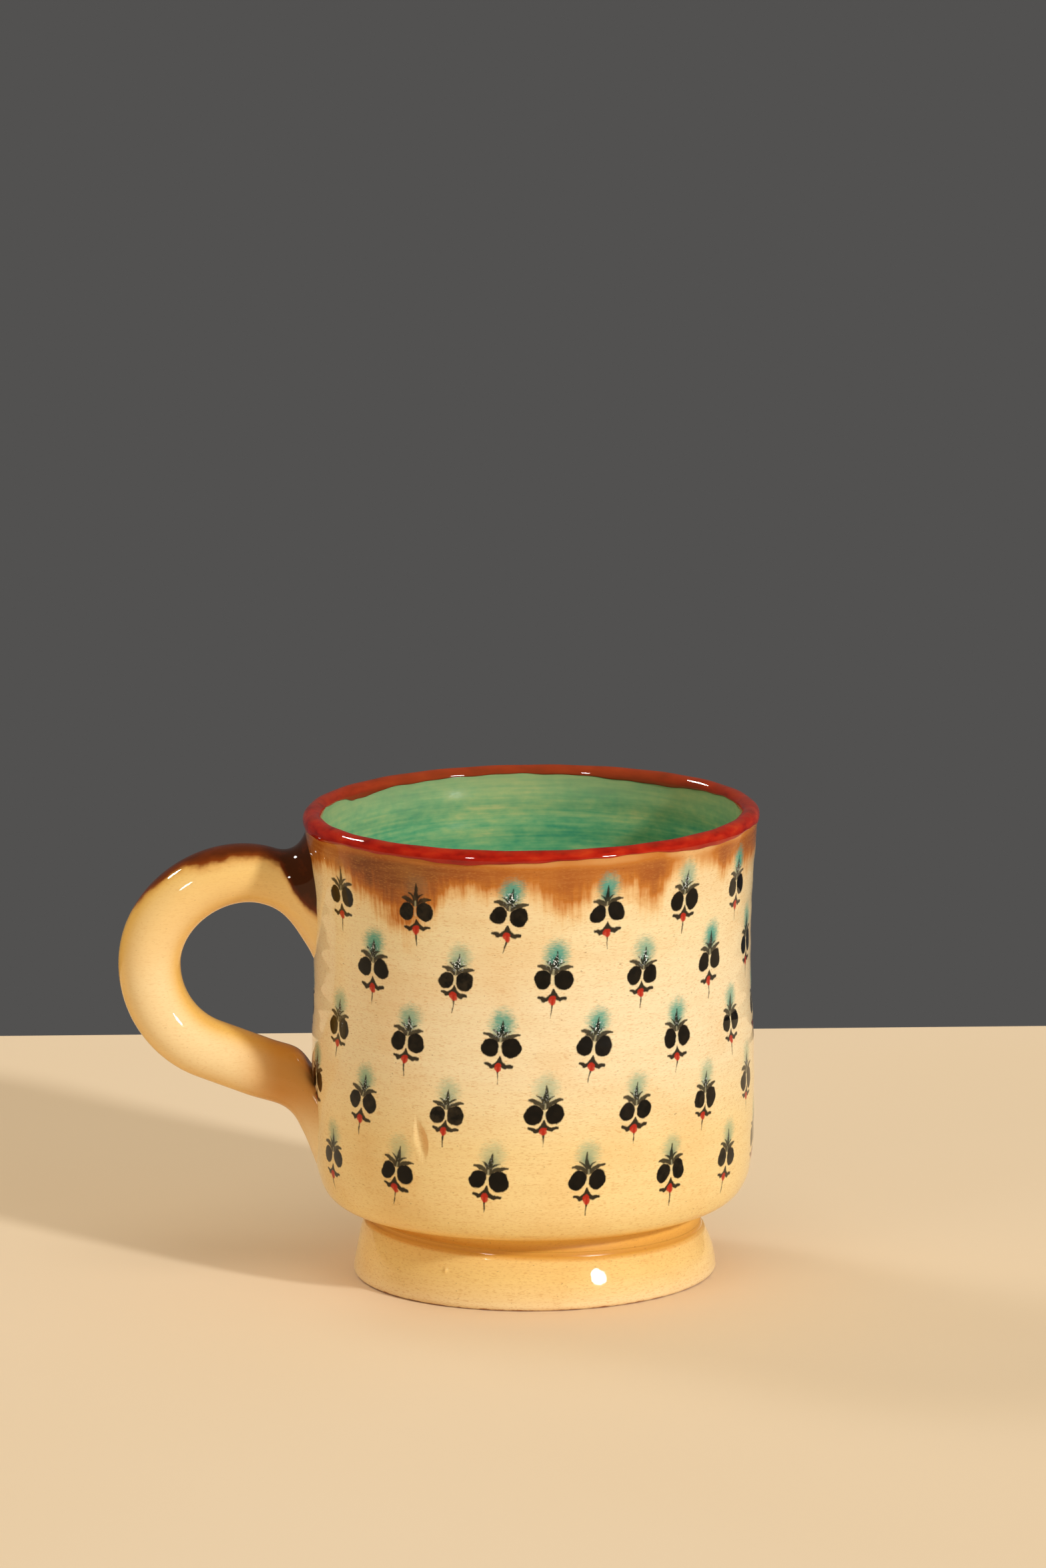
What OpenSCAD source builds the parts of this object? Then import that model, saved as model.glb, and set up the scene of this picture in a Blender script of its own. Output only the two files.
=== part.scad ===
// Wheel-thrown clay mug: a waisted cup on a flared foot ring, with a pulled loop handle,
// a green glaze lining and a red glaze band over the lip.
// Millimetres, +Z up. The origin is the centre of the foot's resting face, and the handle points along -X.

/* [Cup] */
// Outside diameter of the rim, over the glaze band
rim_d = 88; // [84:0.5:100]
// Height from the resting face to the top of the lip, over the glaze band
height = 91; // [86:0.5:104]
// Outside diameter at the waist, the narrow part of the upper wall
waist_d = 84.2; // [78:0.2:88]
// Height of the waist
waist_z = 61; // [56:0.5:66]
// Outside diameter at the belly, the full part of the lower wall
belly_d = 85.4; // [80:0.2:92]
// Height of the belly
belly_z = 42; // [36:0.5:48]
// Thickness of the clay wall
wall_t = 4.2; // [3:0.1:6]
// Thickness of the finished lip, over the glaze band
lip_t = 4; // [3:0.1:5]
// Thickness of the clay floor
floor_t = 6; // [4:0.25:9]
// Diameter of the flat part of the floor
floor_flat_d = 44; // [30:1:56]

/* [Foot] */
// Outside diameter of the foot at its widest
foot_d = 70.2; // [68:0.2:78]
// Outside diameter of the neck, in the groove between the foot and the cup
neck_d = 64.4; // [60:0.2:66]
// Height of the foot ring
foot_h = 11; // [8:0.5:15]
// Thickness of the foot ring's wall at the neck
foot_wall_t = 5.2; // [4:0.2:8]
// Width of the flat ring that the mug stands on
rest_w = 5.4; // [3:0.2:7]
// Radius of the turned edge round the resting face
rest_edge_r = 1; // [0.4:0.1:1.6]
// Thickness of the slip that joins the foot to the cup
slip_t = 2.6; // [0.8:0.1:3.2]
// Depth of the hollow worn in the slip's outer edge
slip_hollow = 0.5; // [0.2:0.1:0.8]

/* [Handle] */
// Thickness of the strap at its upper end
strap_top_t = 10.8; // [9:0.2:14]
// Thickness of the strap round the loop
strap_loop_t = 12; // [9:0.2:15]
// Thickness of the strap at its lower end
strap_tail_t = 11.4; // [8:0.2:14]
// Width of the strap, across the loop
strap_w = 15; // [12:0.5:20]
// Depth of the loop's centreline below the lip, at its highest
loop_drop = 12.4; // [11.5:0.1:18]
// Height above the cup's underside at which the loop runs out into the lower arm
arm_rise = 30.5; // [27:0.1:34]
// Amount by which the loop's half width, outwards from the wall, falls short of its half height
loop_squeeze = 0.8; // [-2:0.1:4]
// Distance from the waist to the loop's centre
loop_offset = 14.5; // [13:0.1:18]
// Distance that the loop's top is set over towards the wall
loop_shift = 1.7; // [0:0.1:3]
// Angle before the top of the loop at which the strap leaves its upper root
strap_lead_angle = 14; // [6:1:20]
// Angle round the loop at which the lower arm runs straight
strap_turn_angle = 160; // [150:1:165]

/* [Handle roots] */
// Length of the lower root, from the wall
tail_len = 10.6; // [6:0.2:13]
// Height that the upper root rises against the wall
upper_rise = 4.4; // [1:0.2:5]
// Depth that the upper root runs down the wall
upper_drop = 9.6; // [6:0.1:14]
// Depth that the lower root's top edge rolls down to the wall
lower_roll = 5; // [0:0.1:5.4]
// Depth that the lower root's tail runs down the wall
lower_drop = 11.6; // [4:0.1:13]
// Distance that each root spreads sideways, on each side
root_spread = 3; // [1:0.25:5]

/* [Glaze] */
// Thickness of the green glaze lining
lining_t = 0.4; // [0.2:0.05:0.8]
// Thickness of the red glaze band
band_t = 0.4; // [0.2:0.05:0.7]
// Depth of the band outside, below the top of the lip
band_outside = 3.2; // [2.6:0.1:4.4]
// Depth of the band inside, below the top of the lip
band_inside = 2.6; // [2.6:0.1:6]

/* [Hidden] */

clay_colour = "#e6bf7c";
slip_colour = "#c98a35";
brown_colour = "#7a3d14";
green_colour = "#4fa173";
red_colour = "#a8231a";

revolve_sides = 144;   // sides of every turned piece
curve_steps = 14;      // steps along each curve of the turned outlines
lip_steps = 16;        // steps over the lip
section_sides = 32;    // sides of the handle's section
loop_steps = 40;       // rings round the loop
arm_steps = 4;         // rings along the straight lower arm
root_steps = 14;       // rings along each root
curve_pull = 0.4;      // reach of a curve's handles, as a share of its height
shoulder_pull = 0.85;  // the same for the full curve above the foot
flare_pull = 0.5;      // the same for the foot's flare, at its lower end
flare_reach = 1.4;     // how far the flare's upper handle stands out from the neck
flare_drop = 1;        // how far it lies below the foot's top
upper_sweep = 2.6;     // how late the upper root swells towards the wall, as a power of its length
lower_sweep = 5.2;     // the same for the lower root
root_tuck = 0.5;       // depth to which a root's rim is set into the wall before it is trimmed to it
root_bite = 3;         // depth to which its end is set in

// Clay outline of the cup, under the glaze
rim_r = rim_d / 2 - band_t;
clay_lip_t = lip_t - 2 * band_t;
lip_r = clay_lip_t / 2;
lip_z = height - band_t - lip_r;
waist_r = waist_d / 2;
belly_r = belly_d / 2;
neck_r = neck_d / 2;
foot_r = foot_d / 2;
cup_z = foot_h + slip_t;
floor_z = cup_z + floor_t;

// Cubic curve from a to d, leaving a towards b and reaching d from c
function curve(a, b, c, d, steps = curve_steps) = [
    for (i = [0:steps])
        let (t = i / steps, s = 1 - t)
            s * s * s * a + 3 * s * s * t * b + 3 * s * t * t * c + t * t * t * d
];

// A list with its first point left out, for joining outlines end to end
function rest_of(path) = [for (i = [1:len(path) - 1]) path[i]];

function reversed(path) = [for (i = [len(path) - 1:-1:0]) path[i]];

// Wall between two heights that is upright at its lower end and leans by lean at its upper end
function upright_curve(low, high, lean = 0) =
    let (pull = curve_pull * (high.y - low.y))
        curve(low, low + [0, pull], high - [lean, pull], high);

// Rounded corner from a flat at height a.y out and up to an upright wall at b
function shoulder_curve(a, b) =
    curve(a, [b.x, a.y + (b.y - a.y) * 0.02], [b.x, b.y - shoulder_pull * (b.y - a.y)], b);

rim_lean = 0.9;  // lean of the wall where it reaches the lip

outside_path = concat(
    shoulder_curve([neck_r, cup_z], [belly_r, belly_z]),
    rest_of(upright_curve([belly_r, belly_z], [waist_r, waist_z])),
    rest_of(upright_curve([waist_r, waist_z], [rim_r, lip_z], rim_lean))
);

lip_path = [
    for (i = [0:lip_steps])
        let (a = 180 * i / lip_steps)
            [rim_r - lip_r + lip_r * cos(a), lip_z + lip_r * sin(a)]
];

// Inside wall from the flat of the floor up to the lip
inside_path = concat(
    shoulder_curve([floor_flat_d / 2, floor_z], [belly_r - wall_t, belly_z]),
    rest_of(upright_curve([belly_r - wall_t, belly_z], [waist_r - wall_t, waist_z])),
    rest_of(upright_curve([waist_r - wall_t, waist_z], [rim_r - clay_lip_t, lip_z], rim_lean))
);

// Radius of an outline at a height
function radius_at(path, z) = lookup(z, [for (p = path) [p.y, p.x]]);

// The stretch of a rising outline between two heights, with its ends cut exactly there
function stretch(path, z0, z1) = concat(
    [[radius_at(path, z0), z0]],
    [for (p = path) if (p.y > z0 && p.y < z1) p],
    [[radius_at(path, z1), z1]]
);

// The outline moved sideways by d, to the left of its direction
function beside(path, d) = [
    for (i = [0:len(path) - 1])
        let (
            before = path[max(i - 1, 0)],
            after = path[min(i + 1, len(path) - 1)],
            along = (after - before) / norm(after - before)
        )
            path[i] + d * [-along.y, along.x]
];

// A turned coat of thickness d on the left of an outline
module coat(path, d) {
    rotate_extrude($fn = revolve_sides) polygon(concat(path, reversed(beside(path, d))));
}

// Everything inside the cup's outside wall, between two heights
module inside_of_wall(z0, z1) {
    rotate_extrude($fn = revolve_sides)
        polygon(concat([[0, z0]], stretch(outside_path, z0, z1), [[0, z1]]));
}

// The thrown clay: wall, rounded lip and floor in one piece
module thrown_cup() {
    color(clay_colour)
        rotate_extrude($fn = revolve_sides)
            polygon(concat(
                [[0, cup_z]],
                outside_path,
                rest_of(lip_path),
                rest_of(reversed(inside_path)),
                [[0, floor_z]]
            ));
}

// Flared ring turned separately and set under the cup
module foot_ring() {
    edge_x = foot_r - rest_edge_r;
    hollow_top_r = neck_r - foot_wall_t;
    hollow_rest_r = edge_x - rest_w;
    flare = curve(
        [foot_r, rest_edge_r],
        [foot_r, foot_h * flare_pull],
        [neck_r + flare_reach, foot_h - flare_drop],
        [neck_r, foot_h]
    );
    turned_edge = [
        for (i = [0:lip_steps / 2])
            let (a = -90 + 180 * i / lip_steps)
                [edge_x + rest_edge_r * cos(a), rest_edge_r + rest_edge_r * sin(a)]
    ];
    color(clay_colour)
        rotate_extrude($fn = revolve_sides)
            polygon(concat(
                [[hollow_rest_r, 0]],
                turned_edge,
                rest_of(flare),
                [[hollow_top_r, foot_h]]
            ));
}

// Band of joining slip in the groove, worn hollow where the finger smoothed it
module foot_slip() {
    inner_r = neck_r - foot_wall_t;
    hollow = [
        for (i = [0:curve_steps])
            let (t = i / curve_steps)
                [neck_r - slip_hollow * sin(180 * t), foot_h + slip_t * t]
    ];
    color(slip_colour)
        rotate_extrude($fn = revolve_sides)
            polygon(concat([[inner_r, foot_h]], hollow, [[inner_r, cup_z]]));
}

// Handle: points are [u, z], where u is the distance from the cup's axis towards the handle

loop_u = waist_r + loop_offset;
loop_rz = (height - loop_drop - cup_z - arm_rise) / (1 - cos(strap_turn_angle));
loop_ru = loop_rz - loop_squeeze;
loop_z = height - loop_drop - loop_rz;

// A point of the loop, and its direction of travel, at an angle past the top
function loop_point(a) =
    let (lean = loop_shift * pow(max(cos(a), 0), 2))
        [loop_u + loop_ru * sin(a) - lean, loop_z + loop_rz * cos(a)];
function loop_travel(a) =
    let (
        lean_step = loop_shift * 2 * max(cos(a), 0) * sin(a),
        d = [loop_ru * cos(a) + lean_step, -loop_rz * sin(a)]
    )
        d / norm(d);

arm_travel = loop_travel(strap_turn_angle);
arm_start = loop_point(strap_turn_angle);
tail_u = belly_r + tail_len;
arm_len = (arm_start.x - tail_u) / -arm_travel.x;
arm_end = arm_start + arm_len * arm_travel;
strap_start = loop_point(-strap_lead_angle);
strap_start_travel = loop_travel(-strap_lead_angle);

// Points of the strap's oval section, as [across the strap, through its thickness]
section = [
    for (i = [0:section_sides - 1])
        let (a = 360 * i / section_sides) [cos(a), sin(a)]
];

// One ring of the strap, square to its travel
function strap_ring(centre, travel, thickness) = [
    for (p = section)
        let (
            across = p.x * strap_w / 2,
            through = p.y * thickness / 2,
            at = centre + through * [-travel.y, travel.x]
        )
            [-at.x, across, at.y]
];

// Thickness at a share of the way round the loop: full at the middle, less at each end
function strap_thickness(share) =
    let (end_t = share < 0.5 ? strap_top_t : strap_tail_t)
        end_t + (strap_loop_t - end_t) * sin(180 * share);

strap_rings = concat(
    [
        for (i = [0:loop_steps])
            let (share = i / loop_steps, a = -strap_lead_angle + share * (strap_lead_angle + strap_turn_angle))
                strap_ring(loop_point(a), loop_travel(a), strap_thickness(share))
    ],
    [
        for (i = [1:arm_steps])
            strap_ring(arm_start + arm_len * i / arm_steps * arm_travel, arm_travel, strap_tail_t)
    ]
);

// One ring of a root. It leaves the strap's end square to its travel towards the wall, levels out, and
// near the wall, whose curve it takes on, it sinks and swells up, down and sideways. s is 0 at the strap
// and 1 at the wall.
function root_ring(end, travel, thickness, wall_r, rise, sink, drop, sweep, s, bite) =
    let (
        len = end.x - wall_r,
        swell = pow(s, sweep),
        lean = (1 - s) * [travel.y, -travel.x],
        centre_z = end.y + travel.y / -travel.x * len * (s - s * s / 2) - sink * swell,
        up = thickness / 2 + rise * swell,
        down = thickness / 2 + drop * swell,
        wide = strap_w / 2 + root_spread * swell
    ) [
        for (p = section)
            let (
                across = p.x * wide,
                through = p.y * (p.y > 0 ? up : down),
                z = centre_z + through * (s + (1 - s) * -travel.x),
                near_r = radius_at(outside_path, z),
                wrap = s * (wall_r - sqrt(near_r * near_r - across * across)),
                u = end.x - len * s - wrap - bite + through * lean.x
            )
                [-u, across, z]
    ];

// Rings from the strap's end to the wall, closer together near it, and one more inside it
function root_rings(end, travel, thickness, wall_r, rise, sink, drop, sweep) = [
    for (i = [0:root_steps + 1])
        let (s = sin(90 * min(i / root_steps, 1)))
            root_ring(end, travel, thickness, wall_r, rise, sink, drop, sweep,
                      s, i > root_steps ? root_bite : root_tuck * s)
];

function middle(ring) = [for (p = ring) 1] * ring / len(ring);

// A closed skin over a row of rings, with a fan of triangles on each end
module skin(rings) {
    n = len(rings[0]);
    last = len(rings) - 1;
    points = concat([for (ring = rings) each ring], [middle(rings[0]), middle(rings[last])]);
    hub = len(rings) * n;
    sides = [
        for (k = [0:last - 1], i = [0:n - 1])
            let (a = k * n + i, b = k * n + (i + 1) % n)
                each [[a, b, b + n], [a, b + n, a + n]]
    ];
    caps = [
        for (i = [0:n - 1])
            let (j = (i + 1) % n)
                each [[hub, j, i], [hub + 1, last * n + i, last * n + j]]
    ];
    polyhedron(points, concat(sides, caps));
}

// Strap pulled from one tapering roll of clay and bent into the loop
module handle_strap() {
    color(clay_colour) skin(strap_rings);
}

// Clay worked round the strap's upper end, spread up to the lip and down the wall
module upper_handle_root() {
    color(brown_colour)
        difference() {
            skin(root_rings(strap_start, -strap_start_travel, strap_top_t, waist_r,
                            upper_rise, 0, upper_drop, upper_sweep));
            inside_of_wall(belly_z, lip_z);
        }
}

// Clay worked round the strap's lower end and drawn down the wall as a tail
module lower_handle_root() {
    color(clay_colour)
        difference() {
            skin(root_rings(arm_end, arm_travel, strap_tail_t, belly_r,
                            0, lower_roll, lower_drop - lower_roll, lower_sweep));
            inside_of_wall(cup_z, waist_z);
        }
}

// Green glaze over the floor and the inside wall, up to the red band
module green_lining() {
    inside = concat([[0, floor_z]], stretch(inside_path, floor_z, height - band_inside));
    color(green_colour) coat(inside, lining_t);
}

// Red glaze drawn over the lip
module red_rim_band() {
    over_lip = concat(
        stretch(outside_path, height - band_outside, lip_z),
        rest_of(lip_path),
        rest_of(reversed(stretch(inside_path, height - band_inside, lip_z)))
    );
    color(red_colour) coat(over_lip, -band_t);
}

thrown_cup();
foot_ring();
foot_slip();
handle_strap();
upper_handle_root();
lower_handle_root();
green_lining();
red_rim_band();
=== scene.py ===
import math
from functools import partial

import bmesh
import bpy
import numpy as np
from mathutils import Matrix, Vector


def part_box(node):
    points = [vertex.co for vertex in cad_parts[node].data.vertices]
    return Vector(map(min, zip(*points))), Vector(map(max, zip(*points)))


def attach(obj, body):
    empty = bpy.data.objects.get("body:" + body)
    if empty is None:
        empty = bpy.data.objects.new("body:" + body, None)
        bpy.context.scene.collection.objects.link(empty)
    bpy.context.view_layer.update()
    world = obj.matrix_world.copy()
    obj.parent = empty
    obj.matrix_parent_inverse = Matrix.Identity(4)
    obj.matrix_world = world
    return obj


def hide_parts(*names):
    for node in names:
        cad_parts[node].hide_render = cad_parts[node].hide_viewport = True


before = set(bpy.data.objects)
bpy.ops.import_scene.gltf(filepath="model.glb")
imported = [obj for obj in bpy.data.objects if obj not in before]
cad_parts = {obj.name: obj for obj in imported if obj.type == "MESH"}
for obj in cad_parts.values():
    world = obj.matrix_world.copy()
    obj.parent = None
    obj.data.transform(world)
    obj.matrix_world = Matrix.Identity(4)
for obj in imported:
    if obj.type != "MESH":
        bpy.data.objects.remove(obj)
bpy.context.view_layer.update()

mm = 0.001  # outlines and patterns below are drawn in millimetres
scene = bpy.context.scene
eased = {"interpolation_type": "SMOOTHSTEP"}  # settings of a range that starts and ends gently
inColour = {"data_type": "RGBA"}  # settings of a mix of two colours


# Small helpers

def linear(hexColour):
    parts = [int(hexColour[i:i + 2], 16) / 255 for i in (1, 3, 5)]
    return [c / 12.92 if c <= 0.04045 else ((c + 0.055) / 1.055) ** 2.4 for c in parts] + [1.0]


def addNode(tree, kind, *values, links=None, **settings):  # values fill the sockets in order, links by name
    kind, *operation = kind.split()  # as in "Math ADD"
    node = tree.nodes.new(kind if kind.startswith("Node") else "ShaderNode" + kind)
    if operation:
        node.operation = operation[0]
    for key, value in settings.items():
        setattr(node, key, value)
    wanted = list(zip([s for s in node.inputs if s.enabled], values))
    wanted += [(node.inputs[key], value) for key, value in (links or {}).items()]
    for socket, value in wanted:
        if isinstance(value, bpy.types.Node):
            value = next(s for s in value.outputs if s.enabled)
        if isinstance(value, bpy.types.NodeSocket):
            tree.links.new(value, socket)
        else:
            socket.default_value = value
    return node


def setStops(node, stops, easing="LINEAR"):  # each stop of the ramp is [place, hex colour or three shares]
    ramp = node.color_ramp
    ramp.interpolation = easing
    while len(ramp.elements) < len(stops):
        ramp.elements.new(1.0)
    for element, (place, colour) in zip(ramp.elements, stops):
        element.position = place
        element.color = linear(colour) if isinstance(colour, str) else [*colour, 1.0]
    return node


def startMaterial(name):  # the material, what adds its nodes, and the place on the object in mm
    material = bpy.data.materials.new(name)
    material.use_nodes = True
    material.node_tree.nodes.clear()
    add = partial(addNode, material.node_tree)
    place = add("VectorMath MULTIPLY", add("TexCoord").outputs["Object"], (1 / mm,) * 3)
    return material, add, place


def curve(a, b, c, d, steps):  # cubic curve that leaves a towards b and reaches d from c
    t = np.linspace(0, 1, steps + 1)[:, None]
    s = 1 - t
    a, b, c, d = (np.array(p, float) for p in (a, b, c, d))
    return s ** 3 * a + 3 * s * s * t * b + 3 * s * t * t * c + t ** 3 * d


def joinOutlines(*outlines):  # end to end, each shared point once
    return np.vstack([outlines[0]] + [o[1:] for o in outlines[1:]])


def gridMesh(name, points, loopRings=False, caps=False):  # points[ring, place round, xyz] in mm
    rings, around = points.shape[:2]
    index = np.arange(rings * around).reshape(rings, around)
    low = index if loopRings else index[:-1]
    high = np.roll(index, -1, axis=0) if loopRings else index[1:]
    quads = np.stack([low, np.roll(low, -1, 1), np.roll(high, -1, 1), high], axis=-1)
    faces = quads.reshape(-1, 4).tolist()
    if caps:
        faces += [index[0].tolist(), index[-1].tolist()]
    mesh = bpy.data.meshes.new(name)
    mesh.from_pydata((points.reshape(-1, 3) * mm).tolist(), [], faces)
    work = bmesh.new()
    work.from_mesh(mesh)
    bmesh.ops.remove_doubles(work, verts=work.verts, dist=1e-7)  # closes the poles on the axis
    bmesh.ops.recalc_face_normals(work, faces=work.faces)
    work.to_mesh(mesh)
    work.free()
    mesh.polygons.foreach_set("use_smooth", [True] * len(mesh.polygons))
    piece = bpy.data.objects.new(name, mesh)
    scene.collection.objects.link(piece)
    return piece


def finishPiece(piece, material, slot, *nodes):
    piece.data.materials.append(material)
    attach(piece, "root")
    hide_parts(*nodes)
    print("made", piece.name, "with", len(piece.data.polygons), "faces")


# Sizes that the solid model gives, in mm

def boxOf(node):
    low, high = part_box(node)
    return [v / mm for v in low], [v / mm for v in high]


bandHigh = boxOf("red_rim_band")[1]
cupLow = boxOf("thrown_cup")[0]
footHigh = boxOf("foot_ring")[1]
slipHigh = boxOf("foot_slip")[1]
liningLow = boxOf("green_lining")[0]

cup = {
    "rimR": bandHigh[1],  # over the red band
    "top": bandHigh[2],
    "waistR": 42.1,
    "waistZ": 61.0,
    "bellyR": 42.7,
    "bellyZ": 42.0,
    "wallT": 4.2,
    "bandT": 0.4,  # glaze band on the lip
    "liningT": 0.4,
    "lipT": 3.2,  # clay lip, under the band
    "neckR": slipHigh[1],
    "neckZ": cupLow[2],
    "floorZ": liningLow[2],
    "floorFlatR": 22.0,
    "rimLean": 0.9,
    "wallPull": 0.4,  # how long the wall keeps its direction, as a share of its rise
    "shoulderPull": (0.02, 0.85),  # the same at the shoulder's low and high end
    "wallSteps": (56, 34, 46),  # mesh steps up the shoulder, the belly and the rim
    "lipPoints": 25,
    "flatPoints": 4,  # mesh points across a flat bottom
    "around": 400,  # mesh places round the cup
}


# Hand-thrown unevenness, the same for every piece that sits on the wall
wheel = {
    "oval": 0.12,  # out of round, in two lobes and in three
    "threeLobed": 0.07,
    "ringHeight": 0.04,  # throwing rings, and finer ones between them
    "ringPitch": 6.4,
    "fineHeight": 0.015,
    "finePitch": 3.7,
    "starts": (0.6, -1.1, 1.3),  # radians where the two lobes, the three and the finer rings start
    "twist": 0.02,  # of the three lobes up the wall, radians per mm
    "ringsFade": (12.0, 22.0),  # the foot was turned smooth, and the rings set in over it
    "steadyR": 20.0,  # the wobble grows from the axis out to here
}


def throwing(angle, z):
    twoStart, threeStart, fineStart = wheel["starts"]
    oval = wheel["oval"] * np.cos(2 * angle + twoStart)
    oval = oval + wheel["threeLobed"] * np.cos(3 * angle + threeStart + wheel["twist"] * z)
    rings = wheel["ringHeight"] * np.sin(2 * np.pi * z / wheel["ringPitch"] + angle)
    rings = rings + wheel["fineHeight"] * np.sin(2 * np.pi * z / wheel["finePitch"] - angle + fineStart)
    return oval + rings * np.interp(z, wheel["ringsFade"], [0, 1])


dent = {
    "angle": math.radians(-32.3),  # its left side
    "z": 34.3,
    "depth": 0.5,
    "width": 3.2,
    "halfHeight": 4.1,
    "deepest": 0.32,  # share of the width
    "bend": 0.09,  # of the left side, per mm
    "lean": -0.2,
    "leastBow": 0.001,  # keeps the width above nothing at its tips
    "finer": (-0.6, 4.6, 53),  # mesh places across it, degrees from its left side: first, last, count
    "pooledAndShaded": "#DE9440",  # glaze that lies in it, and painted shade on its far wall
    "poolAndShadeDepth": 0.5,
    "poolAndShadeStart": (0.2, 0.8),  # shares of the width where it deepens
    "poolAndShadeEnd": (1.06, 0.94),  # and where it stops
}


def nick(angle, z):  # left by a thumbnail in the soft clay
    up = z - dent["z"]
    bow = np.clip(1 - (up / dent["halfHeight"]) ** 2, dent["leastBow"], 1)
    side = (angle - dent["angle"]) * cup["bellyR"] - up * (dent["bend"] * up + dent["lean"])
    share = side / (dent["width"] * bow)
    down = np.clip(share / dent["deepest"], 0, 1)
    back = np.clip((share - dent["deepest"]) / (1 - dent["deepest"]), 0, 1)
    return -dent["depth"] * bow * down * down * (3 - 2 * down) * (1 - back * back)


footMarks = {
    "radius": 34.0,  # of the foot where they lie
    "pimple": (-30.2, 6.9, 0.3, 0.42),  # degrees round, height, rise and half width in mm
    "blister": (49.4, 6.1, -0.12, 0.8),  # a healed one
    "finer": (-3, 3, 25),  # mesh places across the blister, in degrees: first, last, count
}


def markHeight(angle, z):
    total = np.zeros_like(z)
    for deg, markZ, rise, halfWidth in (footMarks["pimple"], footMarks["blister"]):
        side = (angle - math.radians(deg)) * footMarks["radius"]
        total = total + rise * np.exp(-(side ** 2 + (z - markZ) ** 2) / halfWidth ** 2)
    return total


roundAngles = np.linspace(-np.pi, np.pi, cup["around"], endpoint=False)
dentAngles = dent["angle"] + np.radians(np.linspace(*dent["finer"]))
markAngles = math.radians(footMarks["blister"][0]) + np.radians(np.linspace(*footMarks["finer"]))
angles = np.unique(np.concatenate([roundAngles, dentAngles, markAngles]))


def roundPoints(radius, height):  # angle 0 faces the camera, positive to the right
    return np.stack([radius * np.sin(angles), -radius * np.cos(angles), height], axis=-1)


def turned(name, outline, closed=False, relief=None, insideR=0, tip=None):  # outline is [radius, z]
    radius = outline[:, :1] * np.ones((1, len(angles)))
    height = outline[:, 1:] * np.ones((1, len(angles)))
    if tip:
        height = height + tip(angles, height)
    steady = np.clip(radius / wheel["steadyR"], 0, 1)
    radius = radius + steady * throwing(angles, height)
    if relief:
        outside = outline[:, :1] > insideR + 1  # a millimetre clear of the inside face
        radius = radius + np.where(outside, relief(angles, height), 0)
    return gridMesh(name, roundPoints(radius, height), loopRings=closed)


# Outlines of the cup, the outside and the inside each read from below upwards

def uprightCurve(low, high, lean, steps):
    pull = cup["wallPull"] * (high[1] - low[1])
    return curve(low, (low[0], low[1] + pull), (high[0] - lean, high[1] - pull), high, steps)


def shoulderCurve(low, high, steps):
    lowPull, highPull = (pull * (high[1] - low[1]) for pull in cup["shoulderPull"])
    return curve(low, (high[0], low[1] + lowPull), (high[0], high[1] - highPull), high, steps)


def wallOutline(low, bellyR, waistR, rimR):
    belly = (bellyR, cup["bellyZ"])
    waist = (waistR, cup["waistZ"])
    shoulderSteps, bellySteps, rimSteps = cup["wallSteps"]
    return joinOutlines(
        shoulderCurve(low, belly, shoulderSteps),
        uprightCurve(belly, waist, 0, bellySteps),
        uprightCurve(waist, (rimR, lipZ), cup["rimLean"], rimSteps),
    )


clayRimR = cup["rimR"] - cup["bandT"]
lipR = cup["lipT"] / 2
lipZ = cup["top"] - cup["bandT"] - lipR
bellyIn = cup["bellyR"] - cup["wallT"]
waistIn = cup["waistR"] - cup["wallT"]
outsideWall = wallOutline((cup["neckR"], cup["neckZ"]), cup["bellyR"], cup["waistR"], clayRimR)
insideWall = wallOutline((cup["floorFlatR"], cup["floorZ"]), bellyIn, waistIn, clayRimR - cup["lipT"])
lipTurn = np.linspace(0, np.pi, cup["lipPoints"])
lip = np.stack([clayRimR - lipR + lipR * np.cos(lipTurn), lipZ + lipR * np.sin(lipTurn)], axis=1)


def flatBottom(radius, z):  # from the axis outwards
    return np.linspace((0, z), (radius, z), cup["flatPoints"])


def wallRadius(z):
    return np.interp(z, outsideWall[:, 1], outsideWall[:, 0])


def sideways(outline):  # unit steps to the left of the outline's direction
    along = np.gradient(outline, axis=0)
    along /= np.linalg.norm(along, axis=1)[:, None]
    return np.stack([-along[:, 1], along[:, 0]], axis=1)


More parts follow.
